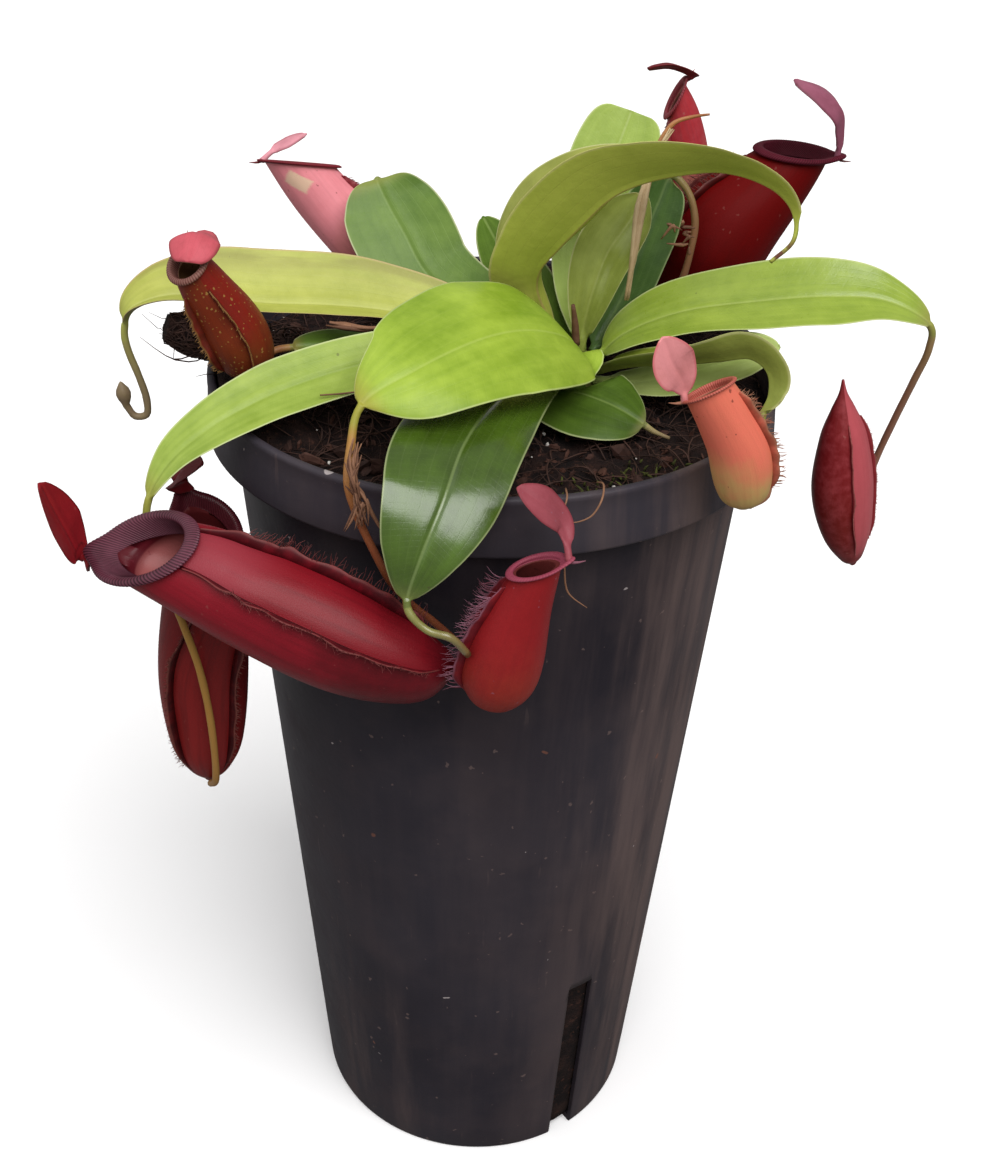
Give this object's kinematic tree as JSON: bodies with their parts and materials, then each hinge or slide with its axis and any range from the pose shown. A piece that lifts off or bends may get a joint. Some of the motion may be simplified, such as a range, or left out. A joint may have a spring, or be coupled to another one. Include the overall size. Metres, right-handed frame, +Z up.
{
  "type": "potted pitcher plant",
  "caption": "Tropical pitcher plant with arching strap leaves, tendrils and hanging red pitchers, growing in a tall tapered nursery pot.",
  "frame": {"origin": "middle of the pot's base face, on the surface the pot stands on", "axes": "+Z up, +X to the right and -Y towards the viewer of the side with the large lying pitcher"},
  "size_m": [0.2191, 0.1732, 0.3285],
  "materials": {
    "pot_plastic": "dull charcoal with dust and scuffs",
    "potting_mix": "loose dark bark, fibre and moss",
    "leaf_lime": "waxy leaf, satin",
    "leaf_green": "glossy leaf",
    "leaf_olive": "waxy leaf, satin",
    "pitcher_crimson": "waxy, glossy lip",
    "pitcher_maroon": "waxy, glossy lip",
    "pitcher_coral": "waxy, fine hair",
    "pitcher_rose": "waxy, satin",
    "pitcher_bronze": "dark with golden flecks"
  },
  "bodies": {
    "root": {"pot": "pot_plastic", "soil": "potting_mix", "stem": "leaf_olive", "leaf_front_left": "leaf_lime", "leaf_front_hanging": "leaf_green", "leaf_small_front": "leaf_green", "leaf_right_long": "leaf_lime", "leaf_right_curved": "leaf_olive", "leaf_over_arching": "leaf_olive", "leaf_back_arching": "leaf_lime", "leaf_back_round": "leaf_lime", "leaf_back_left": "leaf_green", "leaf_back_narrow": "leaf_lime", "leaf_left_yellow": "leaf_lime", "leaf_left_low": "leaf_lime", "leaf_left_small": "leaf_green", "leaf_young_rolled": "leaf_olive", "leaf_behind_rolled": "leaf_green", "leaf_right_low": "leaf_lime", "pitcher_large": "pitcher_crimson", "pitcher_front": "pitcher_crimson", "pitcher_left_hanging": "pitcher_crimson", "pitcher_left_bronze": "pitcher_bronze", "pitcher_back_rose": "pitcher_rose", "pitcher_right_coral": "pitcher_coral", "pitcher_right_unopened": "pitcher_crimson", "pitcher_right_dark": "pitcher_maroon", "pitcher_top_red": "pitcher_crimson"}
  },
  "joints": []
}
